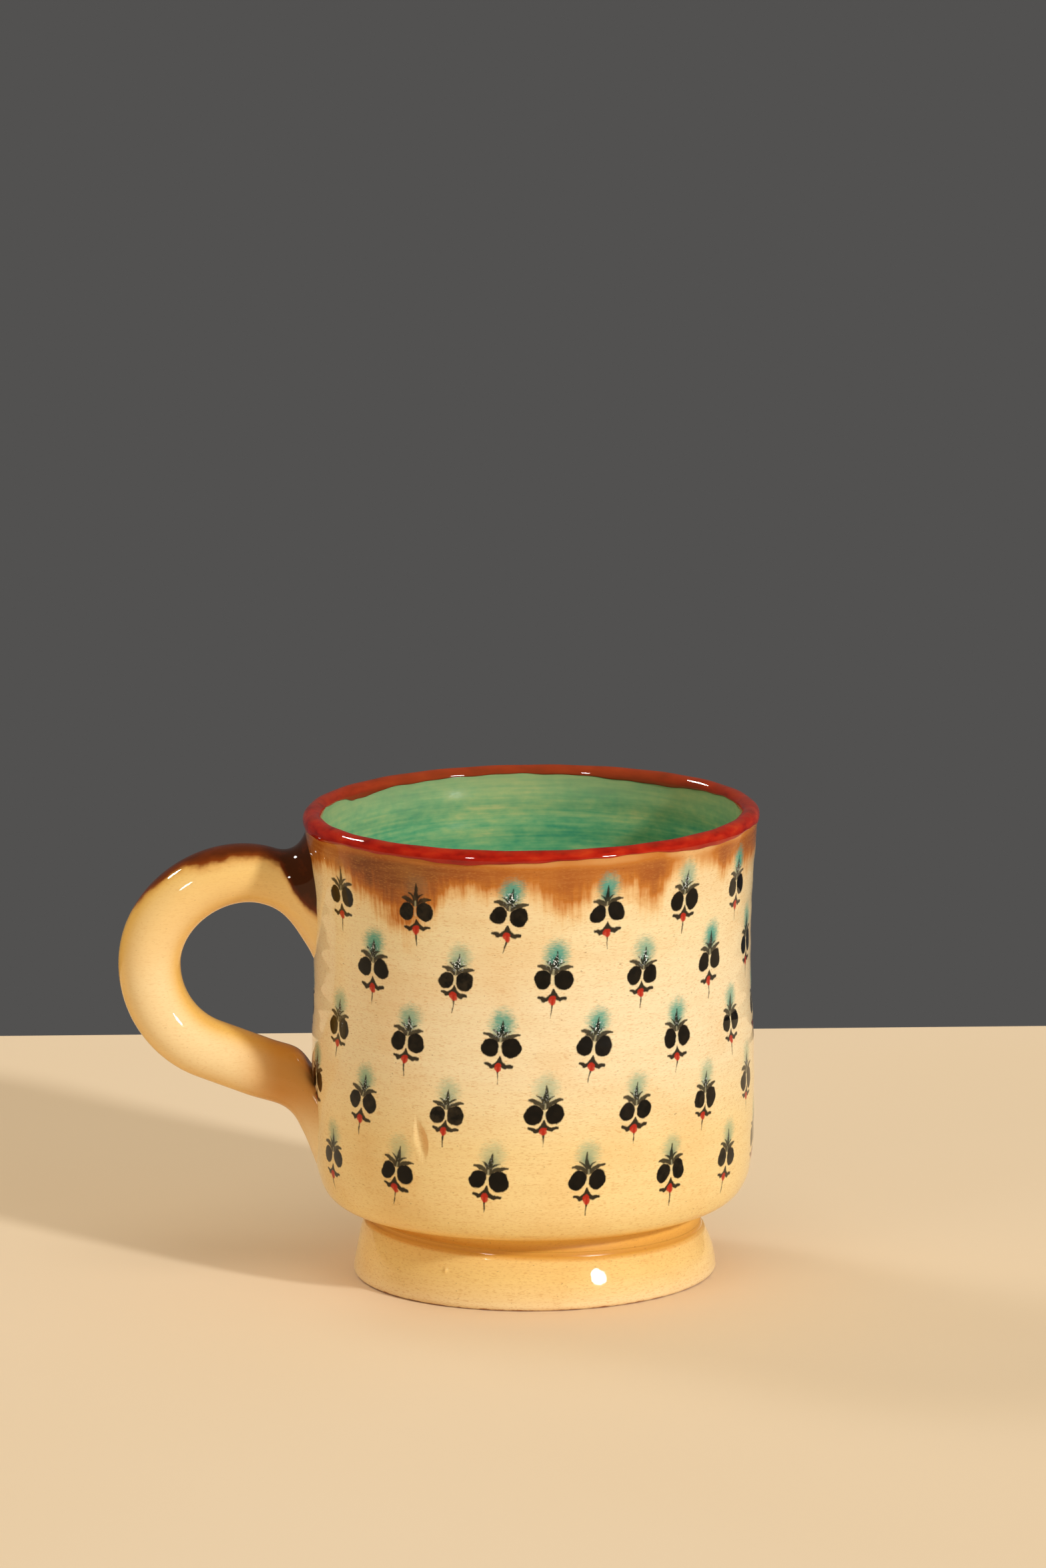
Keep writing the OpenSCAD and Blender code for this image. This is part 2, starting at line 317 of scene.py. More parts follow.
# Honey glaze: a clear lead glaze over buff clay, which gives a warm glossy cream with fine brown flecks
honey = {
    "roughness": 0.05,
    "ior": 1.5,
    "specular": 0.18,  # level of the mirror light, 0.5 by default, matched to the photo's deep blacks
    "lumpMm": 2.2,  # orange peel of the glaze
    "lumpHeight": 0.05,
    "lumpStrength": 0.35,
    "layers": [  # [grain in mm, detail, noise where it starts and is full, depth, tint]
        ((9.0, 9.0, 0.55), 2.0, 0.35, 0.7, 0.1, "#DDA25A"),  # sponge lines that run round the pot
        ((17.0, 17.0, 17.0), 3.0, 0.48, 0.75, 0.2, "#E3A654"),  # thicker and thinner glaze
        ((0.8, 0.8, 0.18), 2.0, 0.5, 0.72, 0.38, "#CC8D45"),  # dragged sand, as coarse as it needs to show
        ((0.8, 0.8, 0.35), 1.0, 0.72, 0.79, 0.42, "#7E4518"),  # iron specks
    ],
    "byHeight": [  # [height in mm, colour]
        # stops from 9.6 to 13.6 mm colour the groove: amber where the glaze pooled, with a painted shadow of
        # the cup's overhang low in it and painted light higher up, where the cup shades it
        (0.0, "#F8DFB0"), (2.5, "#F9DA9C"), (6.0, "#F9D88E"), (9.2, "#F9D68A"), (9.6, "#F3CA76"),
        (9.9, "#E2AE52"), (10.3, "#D0963C"), (11.2, "#DCA648"), (12.2, "#EBB655"), (13.6, "#F3C460"),
        (14.9, "#F7D284"), (16.4, "#F8DD98"), (20.0, "#F8DC9C"),
        (33.0, "#F6DCA0"), (47.0, "#F4E2B8"), (60.0, "#F4E3BB"), (75.0, "#F4E2B4"), (91.0, "#F0D09E"),
    ],
}


def heightColour(add, height):
    ramp = add("ValToRGB", add("Math DIVIDE", height, cup["top"]))
    return setStops(ramp, [(z / cup["top"], colour) for z, colour in honey["byHeight"]])


def honeyGround(add, place, colour, grain=1.0):
    for sizeMm, detail, start, full, depth, tint in honey["layers"]:
        noise = add("TexNoise", add("VectorMath DIVIDE", place, sizeMm), 1.0, detail)
        share = add("MapRange", noise, start, full, 0.0, depth * grain, **eased)
        colour = add("Mix", share, colour, linear(tint), **inColour)
    return colour


def glaze(add, place, colour, coat):  # glossy coat with a soft orange peel, as a piece's dictionary gives it
    lumps = add("TexNoise", place, 1 / coat["lumpMm"], 2.0)
    bump = add("Bump", links={
        "Strength": honey["lumpStrength"], "Distance": coat["lumpHeight"] * mm, "Height": lumps,
    })
    add("OutputMaterial", add("BsdfPrincipled", links={
        "Base Color": colour, "Roughness": coat["roughness"], "IOR": honey["ior"],
        "Specular IOR Level": coat["specular"], "Normal": bump,
    }))


# Brush dab: distance in mm from a tapering, bowed stroke, below zero inside it

dabTree = bpy.data.node_groups.new("brushDab", "ShaderNodeTree")
for socketName, kind in (
    ("Place", "Vector"), ("From", "Vector"), ("Turn", "Float"), ("Length", "Float"),
    ("Start R", "Float"), ("End R", "Float"), ("Bow", "Float"),
):
    dabTree.interface.new_socket(socketName, in_out="INPUT", socket_type="NodeSocket" + kind)
dabTree.interface.new_socket("Distance", in_out="OUTPUT", socket_type="NodeSocketFloat")
add = partial(addNode, dabTree)
dabIn = add("NodeGroupInput").outputs
dabMove = add("VectorMath SUBTRACT", dabIn["Place"], dabIn["From"])
dabTurn = add("VectorRotate", links={"Vector": dabMove, "Angle": dabIn["Turn"]}, rotation_type="Z_AXIS")
dabAxes = add("SeparateXYZ", dabTurn).outputs
dabShare = add("Math DIVIDE", dabAxes[0], dabIn["Length"], use_clamp=True)
dabReach = add("Math MULTIPLY", dabShare, dabIn["Length"])
dabAlong = add("Math SUBTRACT", dabAxes[0], dabReach)
dabFall = add("Math MULTIPLY_ADD", dabShare, -4.0, 4.0)
dabArch = add("Math MULTIPLY", dabShare, dabFall)  # 1 halfway, 0 at both ends
dabSag = add("Math MULTIPLY", dabArch, dabIn["Bow"])
dabAcross = add("Math SUBTRACT", dabAxes[1], dabSag)
dabFar = add("VectorMath LENGTH", add("CombineXYZ", dabAlong, dabAcross))
dabR = add("MapRange", dabShare, 0.0, 1.0, dabIn["Start R"], dabIn["End R"])
add("NodeGroupOutput", add("Math SUBTRACT", dabFar, dabR))


# Painted sprigs: staggered rows of a brushed folk flower. Places are mm from between the petals.
sprig = {
    "perRow": 14,
    "rows": 5,
    "topRow": 78.7,  # height of the top row's petals
    "rowPitch": 12.9,
    "firstAngle": math.radians(-11.5),
    "drift": math.radians(-1.55),  # sideways step from each row to the next
    "uneven": -0.11,  # spacing by eye: wider on one side of the mug than on the other
    "unevenTurn": math.radians(110),
    "wallR": 42.4,
    "bareBeside": (-1.61, 0.31),  # no sprig this near the upper root, radians round and to each side
    "bareRows": 1.5,  # in the top two rows
    "strayMm": 0.8,  # how far a sprig strays from its place
    "lean": 0.1,  # radians either way
    "sizes": (0.95, 1.05),  # the pattern is scaled by this, so a larger one is drawn smaller
    "sepalDrop": 0.95,  # how far the lower part may slip down
    "shakeMm": 1.25,  # how far the brush shakes inside a sprig, and over what length
    "shakeLength": 4.5,
    "edgeMm": 0.16,  # softness of the ink under the glaze
    "raggedMm": 0.2,  # raggedness of its edge, and over what length
    "raggedLength": 0.9,
    # each dab: from, to, radius at its start, radius at its end, bow
    "petals": [
        ((-1.98, -0.2), (-1.85, 0.2), 1.66, 1.6, 0.0),
        ((2.03, -0.25), (1.9, 0.2), 1.76, 1.7, 0.0),
    ],
    "leaves": [
        ((-0.4, 1.35), (-1.75, 2.3), 0.34, 0.5, -0.2),
        ((-1.75, 2.3), (-3.0, 2.6), 0.5, 0.24, -0.12),
        ((0.45, 1.4), (1.85, 2.2), 0.34, 0.5, 0.2),
        ((1.85, 2.2), (3.3, 2.5), 0.5, 0.2, 0.12),
        ((-0.4, 2.5), (-1.6, 3.5), 0.32, 0.08, -0.15),
        ((0.4, 2.5), (1.65, 3.3), 0.3, 0.08, 0.15),
        ((0.0, 1.7), (0.08, 5.3), 0.75, 0.1, 0.0),
    ],
    "gap": [((0.0, -0.8), (0.0, 1.9), 0.2, 0.14, 0.0)],
    "sepals": [
        ((0.0, -1.1), (0.0, -2.2), 0.18, 0.76, 0.0),
        ((-0.25, -2.15), (-1.5, -2.95), 0.5, 0.44, 0.12),
        ((0.25, -2.15), (1.5, -2.95), 0.5, 0.44, -0.12),
        ((-1.5, -2.95), (-2.55, -2.5), 0.43, 0.26, -0.12),
        ((1.5, -2.95), (2.65, -2.75), 0.43, 0.3, 0.1),
        ((0.0, -2.9), (0.0, -6.2), 0.26, 0.04, 0.0),
    ],
    "berry": [((-0.1, -3.05), (0.08, -3.4), 0.78, 0.6, 0.0)],
    "cover": {"leaves": 0.94, "petals": 1.0, "gap": 0.45, "sepals": 0.97, "berry": 0.94},  # of each
    "inks": ("#040302", "#120D07"),  # thick and thin
    "leafInks": ("#0A0D09", "#322D1E"),
    "inkMm": 1.4,  # patches of thick and thin ink
    "inkRange": (0.38, 0.68),
    "paleInk": "#332B1E",  # watered ink, on sprigs past this chance
    "paleFrom": 0.45,
    "paleDepth": 0.8,
    "gapTint": "#CFCBA4",
    "berryTint": "#B92A18",
    "bloomAt": (0.1, 4.7, 0.0),  # soft copper-green bloom over the leaves
    "bloomSize": (3.3, 3.6, 1.0),
    "bloomEdge": (1.45, 0.6),  # shares of that size where it starts and is full
    "wispMm": (0.9, 0.9, 0.22),  # wisps that fray it
    "wispShare": 0.8,
    "bluerZ": (22.0, 66.0),  # stronger and bluer on the upper rows
    "bloomTints": ("#7FA98A", "#3A9E90"),
    "bloomDepths": (0.55, 0.9),
    "weakest": 0.6,  # the least that chance leaves of it, and the chance from which it is whole
    "fullFrom": 0.7,
    "drownedTurn": (-0.5, -0.3),  # the brown run hides it on the top row's left
    "drownedZ": (73.0, 76.0),
    "drownedShare": 0.1,
    "heartAt": (0.05, 3.3, 0.0),  # where the bloom is thickest, and where the painted glints go
    "heartEdge": (2.0, 0.2),
    "heartTint": "#2C6F6A",
    # painted glints: pale specks standing in for light caught by crystals in the bloom
    "glintMm": 0.36,
    "glintRange": (0.56, 0.62),
    "glintChance": (0.3, 0.6),
    "glintTint": "#E6F0F4",
}


def nearestDab(add, place, strokes):  # distance from the nearest of some strokes
    nearest = None
    for start, end, startR, endR, bow in strokes:
        step = (end[0] - start[0], end[1] - start[1])
        stroke = add("Group", node_tree=dabTree, links={
            "Place": place, "From": (start[0], start[1], 0), "Turn": -math.atan2(step[1], step[0]),
            "Length": math.hypot(*step), "Start R": startR, "End R": endR, "Bow": bow,
        })
        nearest = stroke if nearest is None else add("Math MINIMUM", nearest, stroke)
    return nearest


def paintSprigs(add, place, angle, height, colour):
    # row and column of the nearest sprig, and the place inside its cell
    halfStep = math.pi / sprig["perRow"]
    drop = add("Math SUBTRACT", sprig["topRow"], height)
    rowsDown = add("Math DIVIDE", drop, sprig["rowPitch"])
    turnedBy = add("Math MULTIPLY_ADD", rowsDown, sprig["drift"], sprig["firstAngle"])
    wave = add("Math SINE", add("Math ADD", angle, sprig["unevenTurn"]))
    spaced = add("Math MULTIPLY_ADD", wave, sprig["uneven"], angle)
    across = add("Math DIVIDE", add("Math SUBTRACT", spaced, turnedBy), halfStep)
    column = add("Math ROUND", across)
    odd = add("Math FLOORED_MODULO", column, 2.0)
    pairs = add("Math DIVIDE", add("Math SUBTRACT", rowsDown, odd), 2.0)
    row = add("Math MULTIPLY_ADD", add("Math ROUND", pairs), 2.0, odd)
    fromMiddle = add("Math SUBTRACT", row, (sprig["rows"] - 1) / 2)
    fromMiddle = add("Math ABSOLUTE", fromMiddle)
    inRows = add("Math LESS_THAN", fromMiddle, sprig["rows"] / 2)
    rowTurn = add("Math MULTIPLY_ADD", row, sprig["drift"], sprig["firstAngle"])
    centre = add("Math MULTIPLY_ADD", column, halfStep, rowTurn)
    beside = add("Math COMPARE", centre, *sprig["bareBeside"])
    topRows = add("Math LESS_THAN", row, sprig["bareRows"])
    bare = add("Math MULTIPLY", beside, topRows)
    inRows = add("Math SUBTRACT", inRows, bare, use_clamp=True)
    sideShare = add("Math SUBTRACT", across, column)
    upShare = add("Math SUBTRACT", row, rowsDown)
    cell = add("CombineXYZ", sideShare, upShare)
    cell = add("VectorMath MULTIPLY", cell, (halfStep * sprig["wallR"], sprig["rowPitch"], 0))

    # each sprig strays, leans and grows by its own chance, and the brush shakes
    seed = add("CombineXYZ", add("Math FLOORED_MODULO", column, 2.0 * sprig["perRow"]), row)
    chance = add("TexWhiteNoise", seed, noise_dimensions="2D").outputs["Color"]
    chances = add("SeparateColor", chance).outputs
    shake = add("TexNoise", place, 1 / sprig["shakeLength"], 1.0).outputs["Color"]
    stray = add("VectorMath SUBTRACT", chance, (0.5,) * 3)
    shake = add("VectorMath SUBTRACT", shake, (0.5,) * 3)
    spot = add("VectorMath MULTIPLY_ADD", stray, (sprig["strayMm"],) * 3, cell)
    spot = add("VectorMath MULTIPLY_ADD", shake, (sprig["shakeMm"],) * 3, spot)
    lean = add("MapRange", chances[0], 0.0, 1.0, -sprig["lean"], sprig["lean"])
    spot = add("VectorRotate", links={"Vector": spot, "Angle": lean}, rotation_type="Z_AXIS")
    size = add("MapRange", chances[1], 0.0, 1.0, *sprig["sizes"])
    spot = add("VectorMath SCALE", spot, links={"Scale": size})
    spot = add("VectorMath MULTIPLY", spot, (1, 1, 0))
    slipped = add("MapRange", chances[2], 0.0, 1.0, 0.0, sprig["sepalDrop"])
    lowSpot = add("VectorMath ADD", spot, add("CombineXYZ", 0.0, slipped))
    ragged = add("TexNoise", place, 1 / sprig["raggedLength"], 2.0)
    ragged = add("MapRange", ragged, 0.0, 1.0, -sprig["raggedMm"], sprig["raggedMm"])

    # bloom and its thick heart, under the ink
    upper = add("MapRange", height, *sprig["bluerZ"], **eased)
    wisps = add("TexNoise", add("VectorMath DIVIDE", place, sprig["wispMm"]), 1.0, 2.0)
    bloom = add("VectorMath SUBTRACT", spot, sprig["bloomAt"])
    bloom = add("VectorMath DIVIDE", bloom, sprig["bloomSize"])
    bloom = add("VectorMath LENGTH", bloom)
    bloom = add("Math MULTIPLY_ADD", wisps, sprig["wispShare"], bloom)
    bloom = add("MapRange", bloom, *sprig["bloomEdge"], 0.0, inRows, **eased)
    left = add("MapRange", angle, *sprig["drownedTurn"], sprig["drownedShare"], 1.0)
    left = add("MapRange", height, *sprig["drownedZ"], 1.0, left)
    depth = add("MapRange", chances[2], 0.0, sprig["fullFrom"], sprig["weakest"], left)
    depth = add("Math MINIMUM", depth, left)
    byRow = add("MapRange", upper, 0.0, 1.0, *sprig["bloomDepths"])
    depth = add("Math MULTIPLY", depth, byRow)
    tint = add("Mix", upper, *map(linear, sprig["bloomTints"]), **inColour)
    colour = add("Mix", add("Math MULTIPLY", bloom, depth), colour, tint, **inColour)
    heart = add("VectorMath DISTANCE", spot, sprig["heartAt"])
    most = add("Math MULTIPLY", inRows, left)
    heart = add("MapRange", heart, *sprig["heartEdge"], 0.0, most, **eased)
    share = add("Math MULTIPLY", heart, depth)
    colour = add("Mix", share, colour, linear(sprig["heartTint"]), **inColour)

    # brush strokes
    inkTone = add("MapRange", add("TexNoise", place, 1 / sprig["inkMm"], 2.0), *sprig["inkRange"])
    ink = add("Mix", inkTone, *map(linear, sprig["inks"]), **inColour)
    pale = add("Math MULTIPLY", inkTone, sprig["paleDepth"])
    pale = add("MapRange", chances[1], sprig["paleFrom"], 1.0, 0.0, pale)
    ink = add("Mix", pale, ink, linear(sprig["paleInk"]), **inColour)
    leafInk = add("Mix", inkTone, *map(linear, sprig["leafInks"]), **inColour)
    for strokes, where, paint in (
        ("leaves", spot, leafInk), ("petals", spot, ink), ("gap", spot, linear(sprig["gapTint"])),
        ("sepals", lowSpot, ink), ("berry", lowSpot, linear(sprig["berryTint"])),
    ):
        far = add("Math ADD", nearestDab(add, where, sprig[strokes]), ragged)
        cover = sprig["cover"][strokes]
        share = add("MapRange", far, sprig["edgeMm"], -sprig["edgeMm"], 0.0, cover, **eased)
        share = add("Math MULTIPLY", share, inRows)
        colour = add("Mix", share, colour, paint, **inColour)

    # painted glints: pale specks in the bloom where crystals would catch the light
    paintedGlints = add("TexNoise", place, 1 / sprig["glintMm"], 1.0)
    paintedGlints = add("MapRange", paintedGlints, *sprig["glintRange"], 0.0, upper)
    some = add("MapRange", chances[0], *sprig["glintChance"])
    paintedGlints = add("Math MULTIPLY", paintedGlints, some)
    paintedGlint = add("Math MULTIPLY", heart, paintedGlints)
    return add("Mix", paintedGlint, colour, linear(sprig["glintTint"]), **inColour)


# Brown run: thin iron glaze from the lip that ran down the wall in the kiln, in soft rounded lobes
run = {
    "longest": 17.0,
    "startZ": cup["top"] - 2.2,  # under the red band
    "fraying": [  # [grain in mm, detail, reach as a share of the length]
        ((0.9, 0.9, 15.0), 2.0, 0.26),  # streaks
        ((5.0, 5.0, 3.0), 3.0, 0.22),  # clouds
    ],
    "fade": (1.14, 0.28),  # shares of the length where it starts and is full
    "underBand": (0.2, 1.8),  # drawn thin just under the band
    "underDepth": 0.7,
    "coverFrom": 0.55,  # density at which it covers the most
    "cover": 0.96,
    "browns": [
        (0.0, "#E8B050"), (0.25, "#DB9636"), (0.5, "#C4741E"), (0.75, "#A0500E"), (0.9, "#803A07"),
        (1.0, "#6A2A03"),
    ],
    "lobes": [  # [degrees round, length in mm, strength]
        (-180, 7, 0.7), (-160, 11, 0.8), (-142, 7, 0.6), (-122, 12, 0.8), (-104, 8, 0.7), (-86, 11, 0.85),
        (-67, 7.5, 0.78), (-57, 7.5, 0.75), (-48, 11, 0.98), (-41, 14, 0.94), (-34, 17, 0.95),
        (-27, 13.5, 0.9), (-20, 7.8, 0.8), (-9, 7.6, 0.7), (-2, 7.8, 0.64), (4, 11, 0.64), (9, 13.2, 0.71),
        (13.5, 11.5, 0.67), (18.5, 7.4, 0.62), (26, 9, 0.66), (30.5, 12.4, 0.74), (34.5, 12.2, 0.78),
        (38, 6, 0.58), (44, 4, 0.35), (50, 5, 0.45), (58, 8, 0.78), (65, 6.5, 0.66), (72, 9.5, 0.8),
        (98, 7, 0.7), (122, 12, 0.8), (150, 8, 0.65), (180, 7, 0.7),
    ],
}


def layRun(add, place, angle, height, colour):
    lobes = setStops(add("ValToRGB", add("MapRange", angle, -math.pi, math.pi, 0.0, 1.0)), [
        ((deg + 180) / 360, (length / run["longest"], strength, 0)) for deg, length, strength in run["lobes"]
    ], "EASE")
    lengthShare, strength = add("SeparateColor", lobes).outputs[:2]
    length = add("Math MULTIPLY", lengthShare, run["longest"])
    below = add("Math SUBTRACT", run["startZ"], height)
    share = add("Math DIVIDE", below, length)
    for sizeMm, detail, reach in run["fraying"]:
        noise = add("TexNoise", add("VectorMath DIVIDE", place, sizeMm), 1.0, detail)
        share = add("Math ADD", add("MapRange", noise, 0.0, 1.0, -reach, reach), share)
    body = add("MapRange", share, *run["fade"], 0.0, strength, **eased)
    thin = add("MapRange", below, *run["underBand"], run["underDepth"], 1.0, **eased)
    dense = add("Math MULTIPLY", body, thin)
    brown = setStops(add("ValToRGB", dense), run["browns"])
    cover = add("MapRange", dense, 0.0, run["coverFrom"], 0.0, run["cover"])
    return add("Mix", cover, colour, brown, **inColour)


# Thrown cup: the honey glaze with the run and the sprigs under its gloss

def poolAndShadeInDent(add, angle, height, colour):  # glaze pooled in the nick, with painted shade on its far wall; the same shape as the nick
    up = add("Math SUBTRACT", height, dent["z"])
    flat = add("Math DIVIDE", up, dent["halfHeight"])
    flat = add("Math MULTIPLY", flat, flat)
    bow = add("Math SUBTRACT", 1.0, flat, use_clamp=True)
    bow = add("Math MAXIMUM", bow, dent["leastBow"])
    bend = add("Math MULTIPLY_ADD", up, dent["bend"], dent["lean"])
    bend = add("Math MULTIPLY", up, bend)
    side = add("Math SUBTRACT", angle, dent["angle"])
    side = add("Math MULTIPLY", side, cup["bellyR"])
    side = add("Math SUBTRACT", side, bend)
    share = add("Math DIVIDE", side, add("Math MULTIPLY", bow, dent["width"]))
    poolAndShade = add("Math MULTIPLY", bow, dent["poolAndShadeDepth"])
    poolAndShade = add("MapRange", share, *dent["poolAndShadeStart"], 0.0, poolAndShade, **eased)
    poolAndShade = add("MapRange", share, *dent["poolAndShadeEnd"], 0.0, poolAndShade, **eased)
    return add("Mix", poolAndShade, colour, linear(dent["pooledAndShaded"]), **inColour)


def paintedHoneyGlaze():
    material, add, place = startMaterial("paintedHoneyGlaze")
    x, y, height = add("SeparateXYZ", place).outputs
    angle = add("Math ARCTAN2", x, add("Math MULTIPLY", y, -1.0))
    colour = poolAndShadeInDent(add, angle, height, heightColour(add, height))
    colour = layRun(add, place, angle, height, colour)
    colour = honeyGround(add, place, colour)
    colour = paintSprigs(add, place, angle, height, colour)
    glaze(add, place, colour, honey)
    return material


cupOutline = joinOutlines(
    flatBottom(cup["neckR"], cup["neckZ"]), outsideWall, lip, insideWall[::-1],
    flatBottom(cup["floorFlatR"], cup["floorZ"])[::-1],
)
thrownCup = turned("thrownCup", cupOutline, relief=nick, insideR=bellyIn)
finishPiece(thrownCup, paintedHoneyGlaze(), "honey_glazed_clay", "thrown_cup")


# Green lining: copper glaze brushed round the inside, which gives a streaky soft green, paler near the lip
lining = {
    "lipPoints": 7,  # points of the lip that it climbs, under the red band
    "thinT": 0.12,
    "thinFrom": 4.0,  # mm below the lip's turn
    "ringPitch": 4.6,  # throwing rings
    "ringHeight": 0.05,
    "ringsOver": 5.0,  # they set in over this height from the floor
    "ringsEnd": (6.0, 2.0),  # and fade below the lip
    "roughness": 0.16,
    "specular": 0.04,  # hardly a glint shows on it
    "lumpMm": 1.6,
    "lumpHeight": 0.06,
    "brushing": [  # [grain in mm, detail, share of the tone]
        ((14.0, 14.0, 0.7), 3.0, 0.35),  # streaks
        ((16.0, 16.0, 7.0), 2.0, 0.4),  # patches
        ((2.2, 2.2, 1.1), 3.0, 0.25),  # mottle
    ],
    "greens": [(0.37, "#479875"), (0.45, "#62A678"), (0.52, "#7CB17E"), (0.59, "#96BA80"), (0.66, "#B6C385")],
    "deepBelow": (8.0, 28.0),  # richer green lower down, mm below the top
    "deepDepth": 0.5,
    "deepTint": "#54AA75",
    "wornMm": 2.4,  # worn thin near the lip
    "wornReach": 5.0,
    "wornBelow": (9.0, -2.5),
    "wornDepth": 0.7,
    "wornTint": "#A5B47E",
}


def brushedGreenGlaze():
    material, add, place = startMaterial("brushedGreenGlaze")
    below = add("Math SUBTRACT", cup["top"], add("SeparateXYZ", place).outputs[2])
    tone = 0.0
    for sizeMm, detail, share in lining["brushing"]:
        noise = add("TexNoise", add("VectorMath DIVIDE", place, sizeMm), 1.0, detail)
        tone = add("Math MULTIPLY_ADD", noise, share, tone)
    colour = setStops(add("ValToRGB", tone), lining["greens"])
    deep = add("MapRange", below, *lining["deepBelow"], 0.0, lining["deepDepth"], **eased)
    colour = add("Mix", deep, colour, linear(lining["deepTint"]), **inColour)
    worn = add("TexNoise", place, 1 / lining["wornMm"], 2.0)
    worn = add("Math MULTIPLY_ADD", worn, -lining["wornReach"], below)
    worn = add("MapRange", worn, *lining["wornBelow"], 0.0, lining["wornDepth"], **eased)
    colour = add("Mix", worn, colour, linear(lining["wornTint"]), **inColour)
    glaze(add, place, colour, lining)
    return material


liningBack = joinOutlines(
    flatBottom(cup["floorFlatR"], cup["floorZ"]), insideWall, lip[::-1][:lining["lipPoints"]],
)
liningUp = liningBack[:, 1]
liningCoat = np.interp(liningUp, [lipZ - lining["thinFrom"], lipZ], [cup["liningT"], lining["thinT"]])
ringsStart = [cup["floorZ"], cup["floorZ"] + lining["ringsOver"]]
ringed = np.interp(liningUp, ringsStart + [lipZ - down for down in lining["ringsEnd"]], [0, 1, 1, 0])
liningCoat += lining["ringHeight"] * ringed * np.sin(2 * np.pi * liningUp / lining["ringPitch"])
liningFace = liningBack + sideways(liningBack) * liningCoat[:, None]
liningFace[0, 0] = 0.0
greenLining = turned("greenLining", np.vstack([liningBack, liningFace[::-1]]))
finishPiece(greenLining, brushedGreenGlaze(), "green_glaze", "green_lining")


# Red rim band: iron-red glaze brushed over the lip, which gives a deep wet red with wavy edges
band = {
    "outside": 2.1,  # depth below the top, before its waves
    "inside": 1.7,
    # where glaze ran, [radians round, width, mm], and the brush's waves, [number round, phase, mm]
    "runs": [(-0.27, 0.16, 0.75), (-1.3, 0.3, 0.7), (0.95, 0.22, 0.5), (0.35, 0.35, -0.45)],
    "waves": [(9, 0.4, 0.12), (17, 2.0, 0.1), (41, 0.0, 0.06)],
    "insideRuns": [(-2.2, 0.14, 0.8), (-2.1, 0.04, 0.5), (2.45, 0.3, 0.6)],
    "insideWaves": [(5, 1.0, 0.14), (19, 0.0, 0.06), (37, 0.7, 0.05)],
    "leastDepth": 0.05,
    "lipReach": 9.0,  # how far the path over the lip goes down each side
    "edgeT": 0.03,
    "flatness": 6,  # of its section: 2 is an ellipse
    "unevenT": 0.1,  # share of its thickness that varies
    "unevenWave": (23, 1.0),  # number round, phase
    "tuck": 0.1,  # how far its underside is set into the lip
    "steps": 30,
    "roughness": 0.03,
    "specular": 0.36,  # thicker and glossier than the honey glaze
    "lumpMm": 2.4,
    "lumpHeight": 0.05,
    "strokeMm": (4.5, 4.5, 1.6),
    "reds": [(0.28, "#86140B"), (0.44, "#A81D0D"), (0.58, "#B82812"), (0.74, "#C43C18")],
    "paintedShadeBelow": (1.0, 2.2),  # painted shade: darker towards its lower edge, which turns down away from the light
    "underDepth": 0.45,
    "paintedShadeTint": "#7C1008",
    "backY": (-6.0, 34.0),  # browner at the back
    "backDepth": 0.65,
    "backTint": "#864420",
    "crestBelow": (0.9, 0.0),  # worn along the crest
    "crestDepth": 0.55,
    "crestTint": "#A33E20",
    "wornMm": 2.8,
    "wornRange": (0.4, 0.7),
}


def bandEdge(angle, depth, runs, waves):  # depth of an edge below the top
    for at, width, rise in runs:
        depth = depth + rise * np.exp(-((angle - at) / width) ** 2)
    for number, phase, rise in waves:
        depth = depth + rise * np.sin(number * angle + phase)
    return depth


def brushedRedGlaze():
    material, add, place = startMaterial("brushedRedGlaze")
    axes = add("SeparateXYZ", place).outputs
    below = add("Math SUBTRACT", cup["top"], axes[2])
    strokes = add("TexNoise", add("VectorMath DIVIDE", place, band["strokeMm"]), 1.0, 3.0)
    colour = setStops(add("ValToRGB", strokes), band["reds"])
    # painted shade on the band's downward-turning lower edge
    under = add("MapRange", below, *band["paintedShadeBelow"], 0.0, band["underDepth"], **eased)
    colour = add("Mix", under, colour, linear(band["paintedShadeTint"]), **inColour)
    back = add("MapRange", axes[1], *band["backY"], 0.0, band["backDepth"])
    colour = add("Mix", back, colour, linear(band["backTint"]), **inColour)
    crest = add("MapRange", below, *band["crestBelow"], 0.0, band["crestDepth"], **eased)
    worn = add("TexNoise", place, 1 / band["wornMm"], 2.0)
    worn = add("MapRange", worn, *band["wornRange"], 0.0, crest)
    colour = add("Mix", worn, colour, linear(band["crestTint"]), **inColour)
    glaze(add, place, colour, band)
    return material


lowest = lipZ - band["lipReach"]
lipPath = joinOutlines(
    outsideWall[outsideWall[:, 1] > lowest], lip, insideWall[insideWall[:, 1] > lowest][::-1],
)
lipRun = np.concatenate([[0], np.cumsum(np.linalg.norm(np.diff(lipPath, axis=0), axis=1))])
crestRun = lipRun[np.argmax(lipPath[:, 1])]
lipOut = -sideways(lipPath)


def runToDepth(depth):  # distance along the lip from its crest to a depth below the finished top
    clay = np.maximum(depth - cup["bandT"], band["leastDepth"])
    return lipR * np.arccos(1 - np.minimum(clay, lipR) / lipR) + np.maximum(clay - lipR, 0)


